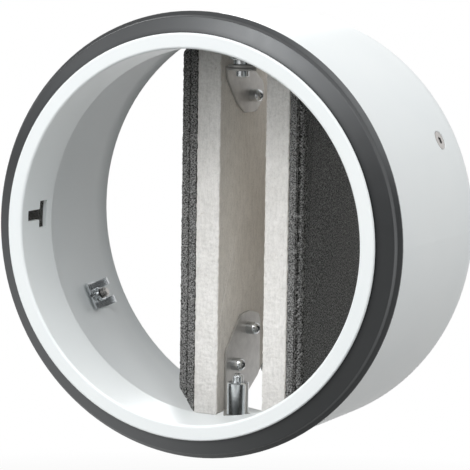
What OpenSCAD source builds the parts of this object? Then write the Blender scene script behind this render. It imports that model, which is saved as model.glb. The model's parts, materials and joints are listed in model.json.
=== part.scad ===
// Circular fire damper for a 200 mm round duct.
// A white steel casing with a rubber lip seal slides into the duct. Two half-disc blades
// of mineral board fold back on one upright hinge axis and are held open by a fusible link.
// When the link melts, each blade swings a quarter turn outwards, and its bevelled rim
// seats on the rear edge of the front collar.
// The airway runs along +Y. The origin is where the hinge axis crosses the casing's axis.
// Depth means the distance behind the front ring's face.

/* [Casing] */
// Outer diameter of the casing tube
casing_d = 197; // [196.5:0.1:197.5]
// Depth of the casing's rear edge
casing_len = 102.5; // [100:0.5:110]
// Sheet thickness of the casing tube
casing_t = 1.5; // [1.2:0.1:1.5]
// Depth of the front wall behind the rubber seal
front_wall_depth = 7.6; // [7:0.1:8]
// Radius of the rounded shoulder behind the rubber seal
shoulder_r = 7; // [4:0.5:8]
// Length over which the rear end turns inwards
rear_turn_len = 8.8; // [6:0.2:10]
// How far the rear end turns inwards
rear_turn_in = 1.7; // [1:0.1:2.4]

/* [Front collar] */
// Inner diameter of the collar, where a valve or grille plugs in
collar_bore_d = 167.8; // [167:0.1:168]
// Depth of the collar's rear edge, which is the blades' seat
collar_depth = 27.9; // [27:0.1:28]
// Sheet thickness of the collar
collar_t = 1.8; // [1.2:0.1:2]
// Outer diameter of the white front ring
ring_d = 182; // [180:0.5:184]
// Angle of the first T slot round the airway, from +X towards +Z
slot_angle = 177.4; // [170:0.2:190]
// Depth of the front edge of the T slot's stem
slot_stem_depth = 5.8; // [5:0.1:8]
// Depth of the front edge of the T slot's cross bar
slot_bar_depth = 16.2; // [14:0.1:17]
// Width of the T slot's stem
slot_stem_w = 5; // [4:0.1:6]
// Width of the T slot's cross bar along the airway
slot_bar_w = 6.3; // [5:0.1:7]
// Length of the T slot's cross bar round the collar
slot_bar_len = 12.6; // [10:0.2:15]

/* [Seals] */
// Outer diameter of the rubber lip, a little over the duct's own
lip_d = 200.8; // [200:0.1:201]
// Diameter of the ridge on the seal's front
ridge_d = 196.1; // [194:0.1:197]
// Depth of that ridge
ridge_depth = 5.5; // [4:0.1:6]
// Thickness of the heat-swelling ring inside the casing
swell_ring_t = 2.5; // [2:0.1:3]
// Depth of the front edge of the heat-swelling ring
swell_ring_depth = 15.5; // [15:0.5:17]
// Length of the heat-swelling ring
swell_ring_len = 30; // [20:1:31]

/* [Blades] */
// Depth of the hinge axis
hinge_depth = 56; // [56:0.1:57]
// Radius of the board's half disc
core_r = 90; // [88:0.5:90]
// Distance from the middle plane to the board's inner face
core_in = 11.6; // [11:0.1:11.8]
// Thickness of the board
core_t = 12; // [11:0.1:12.2]
// Thickness of each of the two dark graphite layers
layer_t = 3.9; // [3.5:0.1:3.9]
// Radius of the bevelled rim on the outer dark face
face_r = 78.2; // [76:0.1:78.2]
// Radius growth of the bevel for each millimetre of thickness
bevel_slope = 1.5; // [1.4:0.01:1.5]
// Distance from the hinge axis plane to the blades' straight edges
edge_set_back = 1.5; // [0.5:0.1:2]

/* [Hinge] */
// Sheet thickness of the hinge brackets
bracket_t = 1.2; // [1:0.1:1.2]
// Radius of the brackets' round ears
ear_r = 6.5; // [6:0.1:7]
// Radius of the two pivot screws' shanks
pivot_r = 2; // [1.5:0.1:2]
// Radial clearance of the ears on the pivots
pivot_fit = 0.07; // [0.04:0.01:0.1]
// Gap above and below each ear
ear_gap = 0.3; // [0.2:0.05:0.4]
// Height of the lower face of the left blade's upper ear
upper_ear_z = 71.8; // [71:0.1:73]
// Height of the lower face of the left blade's lower ear
lower_ear_z = -89.5; // [-89.5:0.1:-88]
// Diameter of the bright sleeve on the lower pivot
sleeve_d = 10.2; // [9:0.1:11]
// Height of the sleeve's top end
sleeve_top_z = -73; // [-74:0.5:-70]
// Diameter of the upper post
post_d = 8.6; // [8:0.1:9]
// Radius of the bracket screws' tall heads
head_r = 3; // [2.6:0.1:3.2]
// Height of those heads
head_h = 6; // [5:0.1:7]

/* [Latches] */
// Angle of the first latch round the airway, from +X towards +Z
latch_angle = 205.6; // [195:0.2:210]
// Depth of the latch screws
latch_screw_depth = 79.3; // [79:0.1:84]
// Width of the latch clips
latch_w = 13; // [10:0.5:14]
// Sheet thickness of the latch clips
latch_t = 1; // [0.8:0.1:1]
// How far the latch's upright tabs reach in from the casing wall
latch_tab_h = 6.4; // [4:0.1:6.4]

/* [Fusible link] */
// Distance of the link behind the hinge axis
link_y = 65; // [60:1:70]
// Length of each link plate
link_len = 15; // [14:0.5:16]
// Width of the link plates
link_w = 8; // [6:0.5:9]

/* [Hidden] */
$fn = 128;

paint = [0.90, 0.92, 0.93];
rubber = [0.16, 0.17, 0.18];
zinc = [0.75, 0.78, 0.82];
sheet_steel = [0.62, 0.60, 0.58];
board = [0.84, 0.82, 0.78];
graphite = [0.20, 0.20, 0.21];
solder_copper = [0.72, 0.48, 0.32];

casing_r = casing_d / 2;
wall_r = casing_r - casing_t;
bore_r = collar_bore_d / 2;
sleeve_r = bore_r + collar_t;
ring_r = ring_d / 2;
lip_r = lip_d / 2;
core_out = core_in + core_t;
face_x = core_out + 2 * layer_t;
board_screw_r = 1.9;
board_screw_len = 8;
board_hole_depth = 10;

// Points of the arc round centre c with radius r, from angle a0 to a1, in n steps
function arc(c, r, a0, a1, n = 10) =
    [for (i = [0:n]) c + r * [cos(a0 + (a1 - a0) * i / n), sin(a0 + (a1 - a0) * i / n)]];

function unit(v) = v / norm(v);

// The shorter way round from angle a to angle b
function turn(a, b) = let (d = b - a) d > 180 ? d - 360 : d < -180 ? d + 360 : d;

// The points that replace corner p1 between p0 and p2 by a fillet of radius r
function fillet(p0, p1, p2, r, n = 6) =
    let (a = unit(p0 - p1),
        b = unit(p2 - p1),
        half = acos(a * b) / 2,
        c = p1 + unit(a + b) * r / sin(half),
        s = p1 + a * r / tan(half) - c,
        e = p1 + b * r / tan(half) - c,
        a0 = atan2(s.y, s.x))
    arc(c, r, a0, a0 + turn(a0, atan2(e.y, e.x)), n);

// A closed outline with each corner rounded by its own radius
function rounded(pts, radii) =
    let (n = len(pts))
    [for (i = [0:n - 1])
        each radii[i] == 0 ? [pts[i]]
            : fillet(pts[(i + n - 1) % n], pts[i], pts[(i + 1) % n], radii[i])];

// The angle at which the tangent from point p touches a circle of radius r round the origin
function tangent_angle(p, r, side) = atan2(p.y, p.x) + side * acos(r / norm(p));

// Moves a shape drawn by depth into the hinge's frame
module by_depth() {
    translate([0, -hinge_depth, 0]) children();
}

// Turns an outline of [radius, depth] points round the airway
module revolve(outline) {
    by_depth() rotate([-90, 0, 0]) rotate_extrude() polygon(outline);
}

// A place on the casing: X is outwards, Y is the depth, Z is round the casing
module around(angle) {
    rotate([0, -angle, 0]) by_depth() children();
}

// A round bar along +X, from radius r1 to r2
module bar_x(r1, r2, h) {
    rotate([0, 90, 0]) cylinder(r1 = r1, r2 = r2, h = h);
}

module both_sides() {
    children();
    rotate([0, 180, 0]) children();
}

// A cross-shaped driver recess, cut down from z = 0
module cross_recess(width, depth) {
    slot_t = width / 3.6;
    for (a = [45, 135])
        rotate(a) translate([-width / 2, -slot_t / 2, -depth]) cube([width, slot_t, depth + 1]);
}

// A screw head standing on z = 0, with a domed top and a cross recess
module domed_head(r, h, dome) {
    difference() {
        rotate_extrude()
            polygon(concat([[0, 0], [r, 0]],
                [for (a = [0:15:90]) [r * cos(a), h - dome + dome * sin(a)]]));
        translate([0, 0, h]) cross_recess(r * 1.2, h * 0.3);
    }
}

// The casing: front wall, rounded shoulder, tube and turned-in rear end
module main_shell() {
    shoulder_c = [casing_r - shoulder_r, front_wall_depth + shoulder_r];
    turn_a = 2 * atan(rear_turn_in / rear_turn_len);
    turn_r = rear_turn_len / sin(turn_a);
    turn_c = [casing_r - turn_r, casing_len - rear_turn_len];
    outside = concat([[sleeve_r, front_wall_depth]],
        arc(shoulder_c, shoulder_r, -90, 0),
        arc(turn_c, turn_r, 0, turn_a));
    inside = concat(arc(turn_c, turn_r - casing_t, turn_a, 0),
        arc(shoulder_c, shoulder_r - casing_t, 0, -90),
        [[sleeve_r, front_wall_depth + casing_t]]);
    color(paint) difference() {
        revolve(concat(outside, inside));
        both_sides() latch_screw_seat();
    }
}

// The countersunk hole of one latch screw through the casing wall
module latch_screw_seat() {
    around(latch_angle) translate([0, latch_screw_depth, 0]) {
        translate([wall_r - 1, 0, 0]) bar_x(latch_hole_r, latch_hole_r, 1.5);
        translate([wall_r, 0, 0]) bar_x(latch_hole_r, latch_head_r, latch_head_x - wall_r);
        translate([latch_head_x, 0, 0]) bar_x(latch_head_r, latch_head_r, 2);
    }
}

// The collar: a front ring with rolled edges and a sleeve with two T slots
module front_collar() {
    edge_r = collar_t / 2;
    outline = rounded([[bore_r, 0], [ring_r, 0], [ring_r, collar_t], [sleeve_r, collar_t],
            [sleeve_r, collar_depth], [bore_r, collar_depth]],
        [1.2, edge_r - 0.05, edge_r - 0.05, 0, 0, 0.6]);
    color(paint) difference() {
        revolve(outline);
        both_sides() around(slot_angle) t_slot();
    }
}

// The cut for one T slot, through the collar's sleeve
module t_slot() {
    cut_x = bore_r - 3;
    cut_t = collar_t + 4;
    translate([cut_x, slot_stem_depth, -slot_stem_w / 2])
        cube([cut_t, slot_bar_depth - slot_stem_depth + 0.5, slot_stem_w]);
    translate([cut_x, slot_bar_depth, -slot_bar_len / 2])
        cube([cut_t, slot_bar_w, slot_bar_len]);
}

// The rubber lip seal between the front ring and the casing's front wall.
// Its front slopes back to the ridge. Behind a shallow groove the thin lip stands out.
module lip_seal() {
    groove = [ridge_d / 2 + 0.6, ridge_depth + 2.2];
    outline = rounded([[sleeve_r, collar_t], [ring_r - 0.4, collar_t],
            [ridge_d / 2, ridge_depth], groove, [lip_r, 9.4], [lip_r - 0.2, 10.6],
            [lip_r - 1.4, 10.4], [lip_r - 3.6, front_wall_depth + 0.5],
            [ring_r + 1, front_wall_depth], [sleeve_r, front_wall_depth]],
        [0, 0, 0.8, 0.8, 0.4, 0.4, 0.4, 2, 2, 0]);
    color(rubber) revolve(outline);
}

// The heat-swelling ring that lines the casing round the closed blades' rims
module swell_ring() {
    r0 = wall_r - swell_ring_t;
    color(graphite) revolve([[r0, swell_ring_depth], [wall_r, swell_ring_depth],
        [wall_r, swell_ring_depth + swell_ring_len], [r0, swell_ring_depth + swell_ring_len]]);
}

// The part of a shape along the hinge axis that is inside the casing wall
module trimmed_by_wall(r) {
    intersection() {
        children();
        rotate([90, 0, 0]) cylinder(r = wall_r - 0.02, h = 4 * r, center = true);
    }
}

right_lower_ear_z = lower_ear_z - ear_gap - bracket_t;
right_upper_ear_z = upper_ear_z + bracket_t + ear_gap;
boss_top_z = right_lower_ear_z - ear_gap;
sleeve_bottom_z = lower_ear_z + bracket_t + ear_gap;
post_bottom_z = right_upper_ear_z + bracket_t + ear_gap;
upper_head_z = upper_ear_z - ear_gap;

boss_floor = 4;
post_hole_depth = 12;

// The turned boss on the casing's floor that carries the lower pivot
module lower_pivot_boss() {
    boss_r = 7;
    color(zinc) difference() {
        trimmed_by_wall(boss_r)
            translate([0, 0, -casing_r]) cylinder(r = boss_r, h = casing_r + boss_top_z);
        translate([0, 0, boss_floor - casing_r]) cylinder(r = pivot_r, h = casing_r);
    }
}

// The lower pivot: a long screw through the sleeve and both ears into the boss
module lower_pivot_screw() {
    shank_bottom = boss_floor - casing_r;
    color(zinc) {
        translate([0, 0, shank_bottom]) cylinder(r = pivot_r, h = sleeve_top_z - shank_bottom);
        translate([0, 0, sleeve_top_z]) domed_head(2.6, 4, 1.6);
    }
}

// The bright sleeve that spaces the lower pivot's head from the ears
module lower_pivot_sleeve() {
    edge = 0.5;
    r = sleeve_d / 2;
    color(zinc) rotate_extrude() polygon([[pivot_r, sleeve_bottom_z], [r, sleeve_bottom_z],
        [r, sleeve_top_z - edge], [r - edge, sleeve_top_z], [pivot_r, sleeve_top_z]]);
}

// The turned post under the casing's roof that carries the upper pivot
module upper_pivot_post() {
    flange_r = 8.5;
    flange_z = wall_r - 3;
    color(zinc) difference() {
        trimmed_by_wall(flange_r) {
            translate([0, 0, post_bottom_z]) cylinder(d = post_d, h = casing_r - post_bottom_z);
            translate([0, 0, flange_z]) cylinder(r = flange_r, h = casing_r - flange_z);
        }
        translate([0, 0, post_bottom_z - 1]) cylinder(r = pivot_r, h = post_hole_depth + 1);
    }
}

// The upper pivot: a screw from below through both ears into the post
module upper_pivot_screw() {
    color(zinc) {
        translate([0, 0, upper_head_z])
            cylinder(r = pivot_r, h = post_bottom_z + post_hole_depth - upper_head_z);
        translate([0, 0, upper_head_z]) rotate([180, 0, 0]) domed_head(3.05, 3.3, 1.2);
    }
}

spring_r = 5.7;
spring_wire_r = 0.6;
spring_turns = 5;
spring_z = post_bottom_z + 2;
spring_rise = 2.2;
leg_end = [core_in - spring_wire_r - 0.4, 30];
leg_foot_a = atan2(leg_end.y, leg_end.x) - acos(spring_r / norm(leg_end));

// The middle line of the closing spring: a leg on each board and the coils between them
spring_path = concat(
    [[leg_end.x, leg_end.y, spring_z]],
    [for (i = [0:18 * spring_turns + 9 - round(leg_foot_a / 10)])
        let (a = leg_foot_a - 20 * i, z = spring_z + spring_rise * i / 18)
        [spring_r * cos(a), spring_r * sin(a), z]]);

// The closing spring round the upper post, with its two legs against the boards
module closing_spring() {
    last = spring_path[len(spring_path) - 1];
    end_p = [-leg_end.x, leg_end.y, last.z];
    color(zinc) sweep(concat(spring_path, [end_p]), spring_wire_r, 8);
}

// A round wire of radius r along the points of path, with the given number of sides
module sweep(path, r, sides) {
    n = len(path);
    rings = [for (i = [0:n - 1])
        let (t = unit(path[min(i + 1, n - 1)] - path[max(i - 1, 0)]),
            u = unit(cross(t, [0, 0, 1])),
            v = cross(u, t))
        for (k = [0:sides - 1])
            path[i] + r * (u * cos(360 * k / sides) + v * sin(360 * k / sides))];
    walls = [for (i = [0:n - 2]) for (k = [0:sides - 1])
        let (a = i * sides, b = a + sides, j = (k + 1) % sides)
        each [[a + k, b + k, b + j], [a + k, b + j, a + j]]];
    polyhedron(rings, concat(walls,
        [[for (k = [0:sides - 1]) k]],
        [[for (k = [sides - 1:-1:0]) (n - 1) * sides + k]]));
}

latch_head_r = 4.75;
latch_hole_r = 2.9;
latch_shank_r = 2.5;
latch_head_x = casing_r - 0.15;
latch_base_x = wall_r - 0.25;

// A spring clip: a ramp for the blade's rim, a base with a threaded neck, and two tabs
module latch_clip() {
    ramp_front = [latch_base_x - 2.3, latch_screw_depth - 11.5];
    ramp_back = latch_screw_depth - 4;
    tab_depth = latch_screw_depth + 2.6;
    tab_x = wall_r - latch_tab_h;
    tab_z = 2.9;
    neck_len = 1.6;
    rib_r = 0.8;
    in = [-latch_t, 0];
    strip = [ramp_front, [latch_base_x, ramp_back], [latch_base_x, tab_depth + latch_t],
        [latch_base_x, tab_depth + latch_t] + in, [latch_base_x, ramp_back] + in, ramp_front + in];
    rib_dir = [latch_base_x, ramp_back] - ramp_front;
    difference() {
        union() {
            linear_extrude(latch_w, center = true) polygon(strip);
            for (s = [0, 1]) mirror([0, 0, s])
                translate([0, 0, tab_z]) linear_extrude(latch_w / 2 - tab_z)
                    polygon([[tab_x, tab_depth], [latch_base_x, tab_depth],
                        [latch_base_x, tab_depth + latch_t], [tab_x, tab_depth + latch_t]]);
            translate([latch_base_x - latch_t - neck_len, latch_screw_depth, 0])
                bar_x(3.3, 3.6, neck_len + 0.4);
            translate([ramp_front.x - latch_t, ramp_front.y, 0])
                rotate([0, 0, atan2(rib_dir.y, rib_dir.x)])
                bar_x(rib_r, rib_r, norm(rib_dir) + 2);
        }
        translate([wall_r - 10, latch_screw_depth, 0]) bar_x(latch_shank_r, latch_shank_r, 12);
    }
}

module latch_left() {
    color(zinc) around(latch_angle) latch_clip();
}

module latch_right() {
    color(zinc) around(latch_angle + 180) latch_clip();
}

// The two latch screws: countersunk outside, with their round ends inside the airway
module latch_screws() {
    tip_x = wall_r - 6;
    tip_bevel = 0.9;
    socket_depth = 1.1;
    color(zinc) both_sides() around(latch_angle) translate([0, latch_screw_depth, 0])
        difference() {
            union() {
                translate([wall_r, 0, 0]) bar_x(latch_hole_r, latch_head_r, latch_head_x - wall_r);
                translate([tip_x + tip_bevel, 0, 0])
                    bar_x(latch_shank_r, latch_shank_r, wall_r - tip_x - tip_bevel);
                translate([tip_x, 0, 0])
                    bar_x(latch_shank_r - tip_bevel, latch_shank_r, tip_bevel);
            }
            translate([latch_head_x - socket_depth, 0, 0])
                rotate([0, 90, 0]) cylinder(r = 1.75, h = 2, $fn = 6);
        }
}

// Half of a round plate on the left of the middle plane, behind the blades' straight edge.
// It reaches from x0 to x1 outwards, and its rim goes from radius r0 to r1.
module half_disc(x0, x1, r0, r1) {
    intersection() {
        translate([-x0, 0, 0]) rotate([0, -90, 0]) cylinder(r1 = r0, r2 = r1, h = x1 - x0);
        translate([-x1 - 1, edge_set_back, -core_r - 1]) cube([x1 - x0 + 2, core_r + 2, 2 * core_r + 2]);
    }
}

// A board with its blind screw holes. The link's holes are above the middle or below it.
module blade_core(link_above) {
    color(board) difference() {
        half_disc(core_in, core_out, core_r, core_r);
        bracket_screw_places() board_hole();
        mirror([0, 0, link_above ? 0 : 1]) link_screw_places() board_hole();
    }
}

// A blind screw hole in the board
module board_hole() {
    translate([0, 0, -board_hole_depth]) cylinder(r = board_screw_r, h = board_hole_depth + 1);
}

module blade_layer(x0) {
    x1 = x0 + layer_t;
    color(graphite) half_disc(x0, x1, face_r + bevel_slope * (face_x - x0),
        face_r + bevel_slope * (face_x - x1));
}

// The upright leaves of the left blade's hinge brackets, as [y, z] outlines
function upper_leaf(top) = rounded([[5.6, top], [6.4, 66.8], [17.5, 54.9], [25.5, 50.2],
    [38, 50.2], [45.5, 56.5], [45.5, 64], [29, top]], [0, 6, 10, 3, 6, 5, 5, 0]);
function lower_leaf(bottom) = rounded([[21, bottom], [33.5, -83.2], [45.4, -76], [45.6, -47.5],
    [34, -44.6], [24.6, -45.2], [8.9, -60.8], [8.9, bottom]], [0, 3, 5, 5, 8, 5, 5, 0]);

// A bracket: a leaf on the board's inner face and an ear bent over to the pivot.
// ear_z is the ear's lower face, y0 and y1 are the ends of its bend line.
module bracket(leaf, ear_z, y0, y1) {
    bend_front = [-core_in, y0];
    bend_back = [-core_in, y1];
    ear = concat([bend_front],
        arc([0, 0], ear_r, tangent_angle(bend_front, ear_r, 1),
            tangent_angle(bend_back, ear_r, -1) + 360, 20),
        [bend_back]);
    difference() {
        union() {
            translate([-core_in, 0, 0]) rotate([90, 0, 90]) linear_extrude(bracket_t) polygon(leaf);
            translate([0, 0, ear_z]) linear_extrude(bracket_t) polygon(ear);
        }
        translate([0, 0, ear_z - 1]) cylinder(r = pivot_r + pivot_fit, h = bracket_t + 2);
        bracket_screw_places() leaf_hole();
    }
}

module leaf_hole() {
    translate([0, 0, -1]) cylinder(r = board_screw_r, h = bracket_t + 2);
}

// The bracket screws of the left blade, as [y, z] places
screw_places = [[31.2, 58.2], [31.9, -52.7], [16.2, -67.9]];

module bracket_screw_places() {
    for (p = screw_places)
        translate([-core_in, p.x, p.y]) rotate([0, 90, 0]) children();
}

module bracket_screws() {
    color(zinc) bracket_screw_places() {
        translate([0, 0, bracket_t]) domed_head(head_r, head_h, 2.6);
        board_screw_shank();
    }
}

// The part of a board screw below its head, through a bracket and into the board
module board_screw_shank() {
    translate([0, 0, -board_screw_len])
        cylinder(r = board_screw_r, h = board_screw_len + bracket_t);
}

module upper_bracket(ear_z) {
    color(sheet_steel) bracket(upper_leaf(ear_z + bracket_t), ear_z, 6.2, 28.4);
}

module lower_bracket(ear_z) {
    color(sheet_steel) bracket(lower_leaf(ear_z), ear_z, 9.5, 20.4);
}

link_gap = 0.05;
link_tab_z = 1.4;
link_leaf_h = 17;
link_leaf_w = 15;
link_screw_h = 11;
link_screw_offset = 4.2;
link_rivet_x = -6.4;
link_rivet_r = 1.5;
link_end = 4;

// The angle on the left board that carries one half of the fusible link
module link_bracket() {
    tab_end = link_rivet_x + link_end;
    color(sheet_steel) difference() {
        union() {
            translate([-core_in, link_y - link_leaf_w / 2, link_tab_z])
                cube([bracket_t, link_leaf_w, link_leaf_h]);
            translate([-core_in, link_y - link_leaf_w / 2, link_tab_z])
                cube([tab_end + core_in, link_leaf_w, bracket_t]);
        }
        link_screw_places() leaf_hole();
        link_rivet_hole();
    }
}

module link_rivet_hole() {
    translate([link_rivet_x, link_y, 0]) cylinder(r = link_rivet_r, h = 2 * link_end);
}

module link_screw_places() {
    for (s = [-1, 1])
        translate([-core_in, link_y + s * link_screw_offset, link_tab_z + link_screw_h])
            rotate([0, 90, 0]) children();
}

module link_screws() {
    color(zinc) link_screw_places() {
        translate([0, 0, bracket_t]) domed_head(2.8, 2, 1.2);
        board_screw_shank();
    }
}

// One plate of the link, from the rivet across the middle plane
module link_plate() {
    end_r = link_w / 2;
    color(solder_copper) difference() {
        translate([0, link_y, link_gap]) linear_extrude(link_tab_z - link_gap) union() {
            translate([link_rivet_x, 0]) circle(r = end_r);
            translate([link_rivet_x, -end_r]) square([link_len - end_r, link_w]);
        }
        link_rivet_hole();
    }
}

module link_rivet() {
    tab_top = link_tab_z + bracket_t;
    color(zinc) {
        translate([link_rivet_x, link_y, link_gap])
            cylinder(r = link_rivet_r, h = tab_top - link_gap);
        translate([link_rivet_x, link_y, tab_top]) rotate_extrude()
            polygon(concat([[0, 0]], [for (a = [0:18:90]) [2.7 * cos(a), 1.4 * sin(a)]]));
    }
}

// The right blade mirrors the left one. Its half of the link is turned over.
module on_right() {
    mirror([1, 0, 0]) children();
}

module turned_over() {
    rotate([0, 180, 0]) children();
}

main_shell();
front_collar();
lip_seal();
swell_ring();
lower_pivot_boss();
lower_pivot_screw();
lower_pivot_sleeve();
upper_pivot_post();
upper_pivot_screw();
closing_spring();
latch_left();
latch_right();
latch_screws();
blade_core(true);  // left_core
blade_layer(core_out);  // left_inner_layer
blade_layer(core_out + layer_t);  // left_outer_layer
upper_bracket(upper_ear_z);  // left_upper_bracket
lower_bracket(lower_ear_z);  // left_lower_bracket
bracket_screws();  // left_bracket_screws
link_bracket();  // left_link_bracket
link_screws();  // left_link_screws
link_plate();  // left_link_plate
link_rivet();  // left_link_rivet
on_right() blade_core(false);  // right_core
on_right() blade_layer(core_out);  // right_inner_layer
on_right() blade_layer(core_out + layer_t);  // right_outer_layer
on_right() upper_bracket(right_upper_ear_z);  // right_upper_bracket
on_right() lower_bracket(right_lower_ear_z);  // right_lower_bracket
on_right() bracket_screws();  // right_bracket_screws
turned_over() link_bracket();  // right_link_bracket
turned_over() link_screws();  // right_link_screws
turned_over() link_plate();  // right_link_plate
turned_over() link_rivet();  // right_link_rivet
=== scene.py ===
import json
import math

import bmesh
import bpy
from mathutils import Matrix, Vector, noise

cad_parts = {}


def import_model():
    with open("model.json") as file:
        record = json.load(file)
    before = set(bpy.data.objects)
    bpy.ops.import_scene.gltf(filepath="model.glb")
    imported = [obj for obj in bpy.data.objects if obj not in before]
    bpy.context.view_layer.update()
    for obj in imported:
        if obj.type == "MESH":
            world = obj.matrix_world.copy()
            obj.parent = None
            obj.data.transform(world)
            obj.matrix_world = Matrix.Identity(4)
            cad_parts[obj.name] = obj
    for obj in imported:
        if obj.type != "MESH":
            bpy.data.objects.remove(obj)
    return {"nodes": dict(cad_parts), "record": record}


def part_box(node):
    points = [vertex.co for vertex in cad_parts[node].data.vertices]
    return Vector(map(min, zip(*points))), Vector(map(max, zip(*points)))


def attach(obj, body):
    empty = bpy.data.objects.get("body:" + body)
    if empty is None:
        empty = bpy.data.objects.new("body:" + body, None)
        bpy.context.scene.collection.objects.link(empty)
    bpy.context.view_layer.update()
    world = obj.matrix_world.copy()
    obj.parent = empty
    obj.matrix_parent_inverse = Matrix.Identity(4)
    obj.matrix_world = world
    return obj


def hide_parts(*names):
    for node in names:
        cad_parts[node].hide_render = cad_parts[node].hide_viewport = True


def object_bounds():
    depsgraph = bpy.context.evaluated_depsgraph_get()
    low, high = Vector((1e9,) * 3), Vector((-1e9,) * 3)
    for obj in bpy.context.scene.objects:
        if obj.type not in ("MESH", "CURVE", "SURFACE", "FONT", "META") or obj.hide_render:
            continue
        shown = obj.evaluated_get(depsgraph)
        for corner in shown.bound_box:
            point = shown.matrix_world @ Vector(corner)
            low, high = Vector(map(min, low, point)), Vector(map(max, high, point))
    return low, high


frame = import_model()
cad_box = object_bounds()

MM = 0.001
NODES = frame["nodes"]
SLOTS = {part["node"]: part["material_slot"] for part in frame["record"]["subparts"]}
BODY_OF = {node: body for body, nodes in frame["record"]["behaviour"]["bodies"].items()
           for node in nodes}

# The photograph's width in pixels, and the stage in metres.
PHOTO_SIDE = 470
FRONT_CENTRE = Vector((0, -0.056, 0))
FLOOR_DROP = 0.15
FLOOR_REACH = 30.0
FLOOR_GREY = (0.19, 0.19, 0.185, 1)
WHITE = (1, 1, 1, 1)

# The radius of a blade's dark layers falls by BEVEL_SLOPE for each unit of their thickness.
BEVEL_SLOPE = 1.5
LATCH_ANGLE = 205.6

# The plates' wear: how much more it moves their rounded edges, and the noises that it adds up.
ROUND_EDGE_WEAR = 1.35
FINE_SCALE, FINE_SHARE = 2.7, 0.6
DRIFT_SCALE, DRIFT_SHARE = 1.7, 0.5
DRIFT_PLACE = Vector((31, 7, 3))


# Shader nodes

def put(tree, socket, value):
    """Gives a socket a number or a colour, or links another node's output to it."""
    if isinstance(value, (int, float)):
        socket.default_value = value
    elif isinstance(value, tuple):
        socket.default_value = (*value, 1)
    else:
        tree.links.new(value, socket)


def math_node(tree, operation, a, b):
    """One operation on two values, each a number or another node's output."""
    node = tree.nodes.new("ShaderNodeMath")
    node.operation = operation
    put(tree, node.inputs[0], a)
    put(tree, node.inputs[1], b)
    return node.outputs["Value"]


def ramp_node(tree, value, start, end, low=0.0, high=1.0):
    """low before a value's start, high past its end, and a straight line in between."""
    node = tree.nodes.new("ShaderNodeMapRange")
    tree.links.new(value, node.inputs["Value"])
    for name, number in (("From Min", start), ("From Max", end), ("To Min", low),
                         ("To Max", high)):
        node.inputs[name].default_value = number
    return node.outputs["Result"]


def axes(tree, coordinate):
    """The X, Y and Z of a texture coordinate, each as an output."""
    source = tree.nodes.new("ShaderNodeTexCoord").outputs[coordinate]
    node = tree.nodes.new("ShaderNodeSeparateXYZ")
    tree.links.new(source, node.inputs["Vector"])
    return node.outputs


# Node materials

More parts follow.
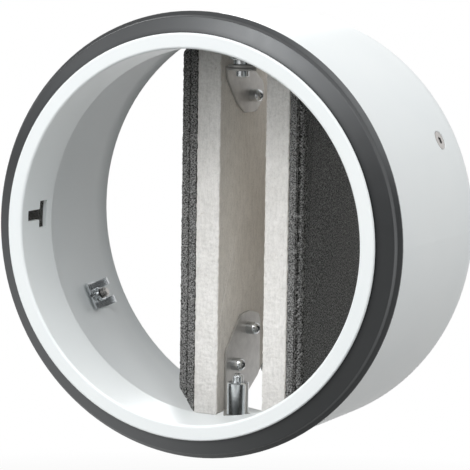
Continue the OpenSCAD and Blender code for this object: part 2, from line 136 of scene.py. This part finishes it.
class Mat:
    """A procedural material around one Principled shader, textured in the part's own metres."""

    def __init__(self, name, **sockets):
        self.mat = bpy.data.materials.new(name)
        self.mat.use_nodes = True
        self.tree = self.mat.node_tree
        self.shader = self.tree.nodes["Principled BSDF"]
        for key, value in sockets.items():
            self.shader.inputs[key.replace("_", " ")].default_value = value
        self.place = self.add("ShaderNodeTexCoord").outputs["Object"]

    def add(self, kind, **values):
        node = self.tree.nodes.new(kind)
        for key, value in values.items():
            if key in node.inputs:
                node.inputs[key].default_value = value
            else:
                setattr(node, key, value)
        return node

    def link(self, a, b):
        self.tree.links.new(a, b)

    def stretched(self, scale):
        """The place with each axis scaled, for grain that runs one way."""
        node = self.add("ShaderNodeMapping")
        node.inputs["Scale"].default_value = scale
        self.link(self.place, node.inputs["Vector"])
        return node.outputs["Vector"]

    def noise(self, size_mm, detail=3.0, roughness=0.6, place=None):
        """Noise with features of about size_mm."""
        node = self.add("ShaderNodeTexNoise", Scale=1 / (size_mm * MM), Detail=detail,
                        Roughness=roughness)
        self.link(place or self.place, node.inputs["Vector"])
        return node.outputs["Fac"]

    def cells(self, size_mm):
        """Random colours in cells of about size_mm."""
        node = self.add("ShaderNodeTexVoronoi", Scale=1 / (size_mm * MM))
        self.link(self.place, node.inputs["Vector"])
        return node.outputs["Color"]

    def facing_front(self):
        """1 on surfaces that face the part's front, falling to 0 as they turn away from it."""
        turned_away, square_on = -0.45, -0.95
        return ramp_node(self.tree, axes(self.tree, "Normal")["Y"], turned_away, square_on)

    def openness(self, reach_mm):
        """1 on open surfaces, less in grooves and corners of about the given size."""
        return self.add("ShaderNodeAmbientOcclusion", Distance=reach_mm * MM).outputs["AO"]

    def painted_groove_shade(self, reach_mm, level):
        """Painted shade in grooves and corners: the gloss is taken away there, up to the given
        level on open surfaces.
        """
        deep, open_face, deep_level = 0.6, 0.97, 0.02
        gloss = ramp_node(self.tree, self.openness(reach_mm), deep, open_face, deep_level, level)
        self.link(gloss, self.shader.inputs["Specular IOR Level"])

    def ramp(self, value, *stops):
        """Maps a value through (position, grey or colour) stops."""
        node = self.add("ShaderNodeValToRGB")
        self.link(value, node.inputs["Fac"])
        points = node.color_ramp.elements
        while len(points) < len(stops):
            points.new(0.5)
        for point, (position, colour) in zip(points, stops):
            point.position = position
            rgb = (colour,) * 3 if isinstance(colour, (int, float)) else colour
            point.color = (*rgb, 1)
        return node.outputs["Color"]

    def clouds(self, size_mm, dark, light, **texture):
        """A colour that drifts from a dark to a light one, in clouds of about size_mm."""
        return self.ramp(self.noise(size_mm, **texture), (0.3, dark), (0.7, light))

    def math(self, operation, a, b):
        return math_node(self.tree, operation, a, b)

    def mix(self, factor, a, b, blend="MIX"):
        node = self.add("ShaderNodeMix", data_type="RGBA", blend_type=blend)
        colour_inputs, colour_output = (0, 6, 7), 2
        for index, value in zip(colour_inputs, (factor, a, b)):
            put(self.tree, node.inputs[index], value)
        return node.outputs[colour_output]

    def colour(self, value):
        self.link(value, self.shader.inputs["Base Color"])

    def rough(self, value, low, high):
        self.link(ramp_node(self.tree, value, 0.0, 1.0, low, high),
                  self.shader.inputs["Roughness"])

    def bump(self, height, depth_mm, strength=1.0):
        node = self.add("ShaderNodeBump", Strength=strength, Distance=depth_mm * MM)
        self.link(height, node.inputs["Height"])
        self.link(node.outputs["Normal"], self.shader.inputs["Normal"])


def paint():
    """White powder paint, smooth, with a very slight ripple."""
    m = Mat("white_paint", IOR=1.5)
    m.colour(m.clouds(60, (0.83, 0.87, 0.88), (0.86, 0.895, 0.90), detail=2))
    m.rough(m.noise(8, detail=4), low=0.28, high=0.40)
    m.bump(m.noise(1.6, detail=2), depth_mm=0.010, strength=0.5)
    return m.mat


def rubber():
    """Black rubber with a clear sheen on its ridges, and painted shade in its grooves, where its
    gloss is taken away.
    """
    m = Mat("seal_rubber", IOR=1.8, Specular_Tint=(0.95, 0.98, 1.0, 1))
    m.colour(m.clouds(25, (0.008, 0.009, 0.0105), (0.012, 0.013, 0.014), detail=4))
    m.rough(m.noise(6, detail=5), low=0.36, high=0.48)
    m.bump(m.noise(0.5), depth_mm=0.02, strength=0.4)
    # Painted shade: the rubber's gloss fades out in its grooves and corners.
    m.painted_groove_shade(reach_mm=3.0, level=0.88)
    return m.mat


def board():
    """Pressed mineral fibre: cream, cloudy, with short fibres, pits and small grains."""
    pit_brown, yellowing, pit_share = (0.50, 0.46, 0.40), (1.0, 0.975, 0.94), 0.35
    m = Mat("mineral_board", Roughness=0.95, IOR=1.4)
    fibre = m.noise(1.4, detail=6, roughness=0.8, place=m.stretched((1, 1, 0.22)))
    grain = m.noise(0.9, roughness=0.7)
    base = m.clouds(11, (0.845, 0.83, 0.80), (0.925, 0.91, 0.885), detail=5, roughness=0.65)
    base = m.mix(0.28, base, m.ramp(fibre, (0.36, 0.52), (0.56, 1.0)), "MULTIPLY")
    base = m.mix(0.18, base, m.ramp(grain, (0.36, 0.5), (0.54, 1.0)), "MULTIPLY")
    pits = m.ramp(m.cells(1.1), (0.90, 0.0), (0.95, 1.0))
    base = m.mix(m.math("MULTIPLY", pits, pit_share), base, pit_brown)
    aged = m.mix(1.0, base, yellowing, "MULTIPLY")
    m.colour(m.mix(m.facing_front(), aged, base))
    m.rough(fibre, low=0.85, high=1.0)
    m.bump(m.math("ADD", fibre, grain), depth_mm=0.25, strength=0.8)
    return m.mat


def graphite():
    """Pressed graphite: black with grey grains, and lighter where it is cut."""
    fleck_grey = (0.34, 0.34, 0.335)
    m = Mat("graphite_sheet", IOR=1.5, Specular_IOR_Level=0.2)
    grain = m.noise(0.7, roughness=0.8)
    skin = m.ramp(grain, (0.46, (0.006, 0.006, 0.005)), (0.60, (0.22, 0.217, 0.206)))
    cut = m.ramp(grain, (0.42, (0.020, 0.020, 0.019)), (0.60, (0.38, 0.38, 0.375)))
    flecks = m.ramp(m.cells(0.55), (0.86, 0.0), (0.94, 0.7))
    m.colour(m.mix(flecks, m.mix(m.facing_front(), skin, cut), fleck_grey))
    m.rough(grain, low=0.5, high=0.9)
    m.bump(m.noise(0.9, detail=4, roughness=0.75), depth_mm=0.4, strength=0.9)
    return m.mat


def zinc():
    """Bright plating on the small steel parts."""
    m = Mat("bright_zinc", Metallic=1.0)
    m.colour(m.clouds(3, (0.68, 0.71, 0.73), (0.78, 0.80, 0.81)))
    m.rough(m.noise(3), low=0.16, high=0.28)
    m.bump(m.noise(0.4), depth_mm=0.01, strength=0.5)
    return m.mat


def worn_zinc_seam_shade():
    """Duller plating on the latch screws, with painted shade down in their seams and sockets."""
    # Painted shade: near-black colour goes into the screws' seams and sockets.
    painted_seam_shade = (0.05, 0.05, 0.05)
    m = Mat("worn_zinc_seam_shade", Metallic=0.9)
    bright = m.clouds(2, (0.58, 0.56, 0.545), (0.67, 0.65, 0.63), detail=4)
    # 1 on open plating, falling to 0 where the painted shade fills seams and sockets.
    unshaded = m.ramp(m.openness(reach_mm=1.0), (0.5, 0.0), (0.95, 1.0))
    m.colour(m.mix(unshaded, painted_seam_shade, bright))
    m.rough(m.noise(1.0, detail=4), low=0.30, high=0.48)
    m.bump(m.noise(0.5), depth_mm=0.015, strength=0.6)
    return m.mat


def sheet_steel():
    """Dull galvanised sheet of the brackets."""
    m = Mat("galvanised_sheet", Metallic=0.75)
    m.colour(m.clouds(5, (0.46, 0.45, 0.44), (0.56, 0.55, 0.53), detail=4))
    m.rough(m.noise(2, detail=4), low=0.42, high=0.6)
    m.bump(m.noise(0.8), depth_mm=0.02, strength=0.5)
    return m.mat


def copper():
    """Tarnished copper of the fusible link."""
    m = Mat("link_copper", Metallic=1.0)
    m.colour(m.clouds(2, (0.50, 0.30, 0.20), (0.66, 0.42, 0.28), detail=4))
    m.rough(m.noise(1.5, detail=4), low=0.3, high=0.5)
    m.bump(m.noise(0.6), depth_mm=0.015, strength=0.5)
    return m.mat


LOOKS = {"paint": paint(), "rubber": rubber(), "board": board(), "graphite": graphite(),
         "zinc": zinc(), "sheet_steel": sheet_steel(), "solder_copper": copper()}


def dress_cad():
    """Every CAD node gets the material of its slot in the record."""
    for name, obj in NODES.items():
        obj.data.materials.clear()
        obj.data.materials.append(LOOKS[SLOTS[name]])


# Detailed pieces

def new_object(name, data):
    """An object in the scene around a mesh, a light or a camera."""
    obj = bpy.data.objects.new(name, data)
    bpy.context.scene.collection.objects.link(obj)
    return obj


def new_mesh(name, verts, faces):
    mesh = bpy.data.meshes.new(name)
    mesh.from_pydata(verts, [], faces)
    return mesh


def stand_for(node, mesh, name, look=None):
    """A new piece of the given mesh that stands for a CAD node and looks and moves like it."""
    obj = new_object(name, mesh)
    mesh.materials.clear()
    mesh.materials.append(look or LOOKS[SLOTS[node]])
    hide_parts(node)
    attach(obj, BODY_OF[node])
    return obj


def closed_skin(name, verts, stacks):
    """A mesh over stacks of rings of points: smooth round each stack and flat at its ends."""
    faces = []
    for rings in stacks:
        faces += [rings[0], rings[-1][::-1]]
        for ring, following in zip(rings, rings[1:]):
            for i in range(len(ring)):
                j = (i + 1) % len(ring)
                faces.append((ring[i], following[i], following[j], ring[j]))
    mesh = new_mesh(name, verts, faces)
    turn_normals_outwards(mesh)
    for face in mesh.polygons:
        face.use_smooth = len(face.vertices) == 4
    return mesh


def turn_normals_outwards(mesh):
    work = bmesh.new()
    work.from_mesh(mesh)
    bmesh.ops.recalc_face_normals(work, faces=work.faces)
    work.to_mesh(mesh)
    work.free()


def rough_slab(node, round_mm, wander_mm, grain_mm, slope=0.0, worn_mm=None):
    """A half-disc plate with worn, fibrous edges, in the place of a board or a dark layer.

    Sections across the plate's thickness are joined into a skin. Each section is the straight
    edge along the hinge, then the rim. The rim's radius falls by slope from the board outwards.
    Its outermost edge can be worn rounder than the others.
    """
    low, high = (Vector(corner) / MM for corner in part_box(node))
    side = 1 if high.x > 0 else -1
    x_in, x_out = sorted((abs(low.x), abs(high.x)))
    front, radius = low.y, math.hypot(low.y, high.z)
    verts, rings = [], []
    for x, inset in rounded_stations(x_in, x_out, round_mm, worn_mm or round_mm):
        wander = wander_mm * (ROUND_EDGE_WEAR if inset else 1.0)
        rim = radius - slope * (x - x_in) - inset
        ring = []
        for point, normal in half_disc_outline(rim, front + inset):
            ring.append(len(verts))
            place = Vector((side * x, point.x, point.y))
            verts.append(wandered(place, normal, wander, grain_mm) * MM)
        rings.append(ring)
    stand_for(node, closed_skin(node + "_worn", verts, [rings]), node + "_worn")


def rounded_stations(x_in, x_out, round_mm, worn_mm, step=0.8):
    """Places across a plate, with how far its outline is drawn in there by the round edges."""
    quarter_turn = [math.radians(a) for a in (0, 30, 60, 90)]
    edge = [(1 - math.cos(a), 1 - math.sin(a)) for a in quarter_turn]
    first = [(x_in + dx * round_mm, inset * round_mm) for dx, inset in edge]
    last = [(x_out - dx * worn_mm, inset * worn_mm) for dx, inset in reversed(edge)]
    span = last[0][0] - first[-1][0]
    count = max(1, round(span / step))
    return first + [(first[-1][0] + span * i / count, 0) for i in range(1, count)] + last


def half_disc_outline(radius, front, on_edge=380, on_rim=110):
    """Points and outward normals of a half disc, as (y, z): its straight edge, then its rim."""
    top = math.sqrt(radius ** 2 - front ** 2)
    for i in range(on_edge):
        yield Vector((front, -top + 2 * top * i / on_edge)), Vector((-1, 0))
    start = math.atan2(top, front)
    for i in range(on_rim):
        a = start - 2 * start * i / on_rim
        normal = Vector((math.cos(a), math.sin(a)))
        yield normal * radius, normal


def wandered(point, normal, wander_mm, grain_mm):
    """A point of a plate's outline, moved along its normal and across the plate by noise."""
    place = point / grain_mm
    push = wander_mm * (noise.noise(place) + FINE_SHARE * noise.noise(place * FINE_SCALE))
    drift = DRIFT_SHARE * wander_mm * noise.noise(place / DRIFT_SCALE + DRIFT_PLACE)
    return point + Vector((drift, normal.x * push, normal.y * push))


def softened(node, width_mm, sharp_deg=35, flat_deg=1, merge_mm=0.001):
    """The CAD node with its sharp edges rounded a little, so that they catch the light."""
    mesh = NODES[node].data.copy()
    work = bmesh.new()
    work.from_mesh(mesh)
    bmesh.ops.remove_doubles(work, verts=work.verts, dist=merge_mm * MM)
    bmesh.ops.dissolve_limit(work, angle_limit=math.radians(flat_deg), verts=work.verts,
                             edges=work.edges)
    sharp = [e for e in work.edges
             if len(e.link_faces) == 2 and e.calc_face_angle() > math.radians(sharp_deg)]
    bmesh.ops.bevel(work, geom=sharp, offset=width_mm * MM, offset_type="OFFSET", segments=2,
                    profile=0.5, affect="EDGES", clamp_overlap=True)
    for face in work.faces:
        face.smooth = True
    work.to_mesh(mesh)
    work.free()
    obj = stand_for(node, mesh, node + "_soft")
    weighted = obj.modifiers.new("flat_faces", "WEIGHTED_NORMAL")
    weighted.keep_sharp = True


def around(angle):
    """The turn to a place round the casing: X points outwards there, and Y to the rear."""
    return Matrix.Rotation(-math.radians(angle), 4, "Y")


def turned(node, name, look, places, profile, segments=48, sharp_deg=40):
    """A piece turned round X, once at each place.

    The profile is a list of places along X, each with its radius or a function that gives
    the radius there at an angle.
    """
    verts, stacks = [], []
    for place in places:
        rings = []
        for x, radius in profile:
            rings.append(list(range(len(verts), len(verts) + segments)))
            for i in range(segments):
                a = 2 * math.pi * i / segments
                r = radius(x, a) if callable(radius) else radius
                verts.append(place @ Vector((x, r * math.cos(a), r * math.sin(a))) * MM)
        stacks.append(rings)
    obj = stand_for(node, closed_skin(name, verts, stacks), name, look)
    split = obj.modifiers.new("sharp", "EDGE_SPLIT")
    split.split_angle = math.radians(sharp_deg)


def thread_radius(outer, depth, pitch):
    """The radius of a screw thread at a place along X and an angle."""
    def radius(x, a):
        turn = (x / pitch - a / (2 * math.pi)) % 1
        return outer - depth * abs(2 * turn - 1)
    return radius


def hex_radius(apothem):
    """The radius of a hexagon at an angle, the same all along X."""
    def radius(x, a):
        return apothem / math.cos((a + math.pi / 6) % (math.pi / 3) - math.pi / 6)
    return radius


def screw_end(tip_x, end_x, step=0.1):
    """A threaded end with a blunt tip, as a profile for turned()."""
    thread = thread_radius(outer=2.5, depth=0.42, pitch=0.8)
    thread_x = tip_x + 0.8
    count = round((end_x - thread_x) / step)
    tip = [(tip_x, 1.5), (tip_x + 0.1, 1.6), (tip_x + 0.7, 2.1)]
    return tip + [(thread_x + step * i, thread) for i in range(count)]


def countersunk_head(neck_x, face_x):
    """A flat head with a seam inside its rim and a hexagon socket, as a profile for turned()."""
    neck_r, head_r, socket_r, seam_width, rounding = 2.9, 4.72, 1.55, 0.42, 0.12
    seam_r, crown_r = head_r - seam_width, head_r / 2 + 0.4
    socket, mouth = hex_radius(socket_r), hex_radius(socket_r + rounding)
    # Each point is a depth below the face, and the radius there.
    rim = [(0.4, head_r), (0.3, head_r)]
    seam = [(0.29, seam_r), (0.1, seam_r), (0.0, seam_r - rounding)]
    crown = [(-0.03, crown_r), (-0.03, mouth)]
    bore = [(0.1, socket), (0.6, socket), (0.7, 0.1)]
    points = rim + seam + crown + bore
    return [(neck_x, neck_r)] + [(face_x - depth, radius) for depth, radius in points]


def latch_screws():
    """The latch screws: a flat head outside with a seam round it, and a threaded end inside."""
    tip_x, wall_x, sunk = 91.0, 97.0, 0.15
    low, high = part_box("latch_screws")
    depth = (low.y + high.y) / 2 / MM
    face_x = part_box("main_shell")[1].x / MM - sunk
    places = [Matrix.Translation((0, depth, 0)) @ around(angle)
              for angle in (LATCH_ANGLE, LATCH_ANGLE + 180)]
    profile = screw_end(tip_x, wall_x) + countersunk_head(wall_x, face_x)
    turned("latch_screws", "latch_screws_threaded", worn_zinc_seam_shade(), places, profile)


def blade_layers(side):
    """A blade's board and its two dark layers, of which the right outer one is worn round."""
    rough_slab(side + "_core", round_mm=0.7, wander_mm=0.30, grain_mm=1.2)
    for layer in ("inner", "outer"):
        worn_mm = 3.2 if (side, layer) == ("right", "outer") else None
        rough_slab(f"{side}_{layer}_layer", round_mm=0.75, wander_mm=0.36, grain_mm=1.0,
                   slope=BEVEL_SLOPE, worn_mm=worn_mm)


def detailed_pieces():
    latch_screws()
    for node in ("latch_left", "latch_right"):
        softened(node, 0.15, sharp_deg=12)
    for side in ("left", "right"):
        blade_layers(side)
        for bracket in ("upper_bracket", "lower_bracket", "link_bracket"):
            softened(f"{side}_{bracket}", 0.2)


# Stage

def mixed(tree, share, first, second):
    """A mix of two shaders, in which share is the second one's."""
    mix = tree.nodes.new("ShaderNodeMixShader")
    tree.links.new(share, mix.inputs["Fac"])
    tree.links.new(first.outputs[0], mix.inputs[1])
    tree.links.new(second.outputs[0], mix.inputs[2])
    return mix


def rays(tree):
    """1 for a ray straight from the camera, also through glass, and 1 for a ray of gloss."""
    path = tree.nodes.new("ShaderNodeLightPath")
    straight = math_node(tree, "MAXIMUM", path.outputs["Is Camera Ray"],
                         path.outputs["Is Transmission Ray"])
    return straight, path.outputs["Is Glossy Ray"]


def floor():
    """A floor that turns into the white backdrop away from the object's shadow."""
    z = cad_box[0][2] - FLOOR_DROP
    signs = ((-1, -1), (1, -1), (1, 1), (-1, 1))
    corners = [(x * FLOOR_REACH, y * FLOOR_REACH, z) for x, y in signs]
    obj = new_object("floor", new_mesh("floor", corners, [(0, 1, 2, 3)]))
    obj.data.materials.append(floor_white())


def floor_white():
    """Matt grey under the lamps, with some plain white for the camera and for reflections."""
    m = Mat("floor_white", Base_Color=FLOOR_GREY, Roughness=1.0, Specular_IOR_Level=0.0)
    white = m.add("ShaderNodeEmission")
    distance = m.add("ShaderNodeVectorMath", operation="LENGTH")
    m.link(m.place, distance.inputs[0])
    straight, gloss = rays(m.tree)
    backdrop = ramp_node(m.tree, distance.outputs["Value"], 0.25, 0.75, low=0.55)
    seen = m.math("MULTIPLY", straight, backdrop)
    mirrored = m.math("MULTIPLY", gloss, floor_seen_in_gloss(m.tree))
    mix = mixed(m.tree, m.math("MAXIMUM", seen, mirrored), m.shader, white)
    m.link(mix.outputs["Shader"], m.tree.nodes["Material Output"].inputs["Surface"])
    return m.mat


def floor_seen_in_gloss(tree):
    """How white the floor is in reflections: white behind, less so on the left, dark in front."""
    place = axes(tree, "Object")
    behind = ramp_node(tree, place["Y"], 0.0, 0.4, low=0.03)
    on_left = ramp_node(tree, place["X"], 0.05, -0.15)
    beside = ramp_node(tree, place["Y"], -0.5, -0.1, high=0.75)
    left = math_node(tree, "MULTIPLY", on_left, beside)
    return math_node(tree, "MAXIMUM", behind, left)


def world():
    """A white tent: a pure white background, a softer light, and its own look in gloss."""
    w = bpy.data.worlds.new("studio")
    bpy.context.scene.world = w
    w.use_nodes = True
    tree = w.node_tree
    light = tree.nodes["Background"]
    gloss = tree.nodes.new("ShaderNodeBackground")
    seen = tree.nodes.new("ShaderNodeBackground")
    for node in (light, gloss, seen):
        node.inputs["Color"].default_value = WHITE
    dimmer_behind = ramp_node(tree, axes(tree, "Generated")["Y"], -0.6, 0.6, low=1.04, high=0.56)
    tree.links.new(dimmer_behind, light.inputs["Strength"])
    tree.links.new(room_seen_in_gloss(tree), gloss.inputs["Strength"])
    straight, in_gloss = rays(tree)
    every = mixed(tree, straight, mixed(tree, in_gloss, light, gloss), seen)
    tree.links.new(every.outputs["Shader"], tree.nodes["World Output"].inputs["Surface"])


def room_seen_in_gloss(tree):
    """How bright the tent is in reflections: most behind, less overhead and at the left front."""
    toward = axes(tree, "Generated")
    behind = ramp_node(tree, toward["Y"], 0.1, 0.5, high=0.85)
    overhead = ramp_node(tree, toward["Z"], 0.0, 0.8, high=0.3)
    in_front = ramp_node(tree, toward["Y"], 0.0, -0.8, high=0.2)
    on_left = ramp_node(tree, toward["X"], 0.2, -0.4)
    left_front = math_node(tree, "MULTIPLY", in_front, on_left)
    return math_node(tree, "ADD", math_node(tree, "MAXIMUM", behind, overhead), left_front)


def lamp(name, toward, watts, distance=2.0, size=1.0):
    """A square soft box in the given direction, facing the object."""
    data = bpy.data.lights.new(name, "AREA")
    data.size = size
    data.energy = watts
    obj = new_object(name, data)
    obj.location = Vector(toward).normalized() * distance
    obj.rotation_euler = (-obj.location).to_track_quat("-Z", "Y").to_euler()


def lights():
    lamp("key", (-0.16, -0.75, 0.65), 8.5, size=0.5)
    lamp("front", (-0.28, -0.96, 0.12), 2.2)
    lamp("near_left", (-0.70, -0.66, 0.28), 0.75, distance=0.8, size=0.4)
    lamp("front_left", (-0.62, -0.70, 0.30), 1.5)
    lamp("right", (0.33, -0.58, 0.74), 6.8)
    lamp("side", (0.75, -0.25, 0.60), 4.0)
    lamp("back_left", (-0.50, 0.80, 0.35), 8.0)


def camera():
    """The photograph's view, found by fitting the rings, the boards' edges and the pivots."""
    azimuth, elevation, roll = (math.radians(a) for a in (25.983, 6.579, 0.94))
    distance, pan_x, pan_z, focal_px = 1.19496, 0.02215, 0.00152, 2697.1
    back = Vector((math.sin(azimuth) * math.cos(elevation),
                   -math.cos(azimuth) * math.cos(elevation), math.sin(elevation)))
    right = (-back).cross(Vector((0, 0, 1))).normalized()
    up = right.cross(-back)
    data = bpy.data.cameras.new("camera")
    data.sensor_width = 36.0
    data.lens = focal_px / PHOTO_SIDE * data.sensor_width
    data.clip_start, data.clip_end = 0.05, 100
    obj = new_object("camera", data)
    turn = Matrix((right, up, back)).transposed().to_4x4()
    turn.translation = FRONT_CENTRE + back * distance + right * pan_x + up * pan_z
    obj.matrix_world = Matrix.Rotation(-roll, 4, "Y") @ turn
    bpy.context.scene.camera = obj


dress_cad()
detailed_pieces()
floor()
world()
lights()
camera()
bpy.context.scene.view_settings.view_transform = "Standard"
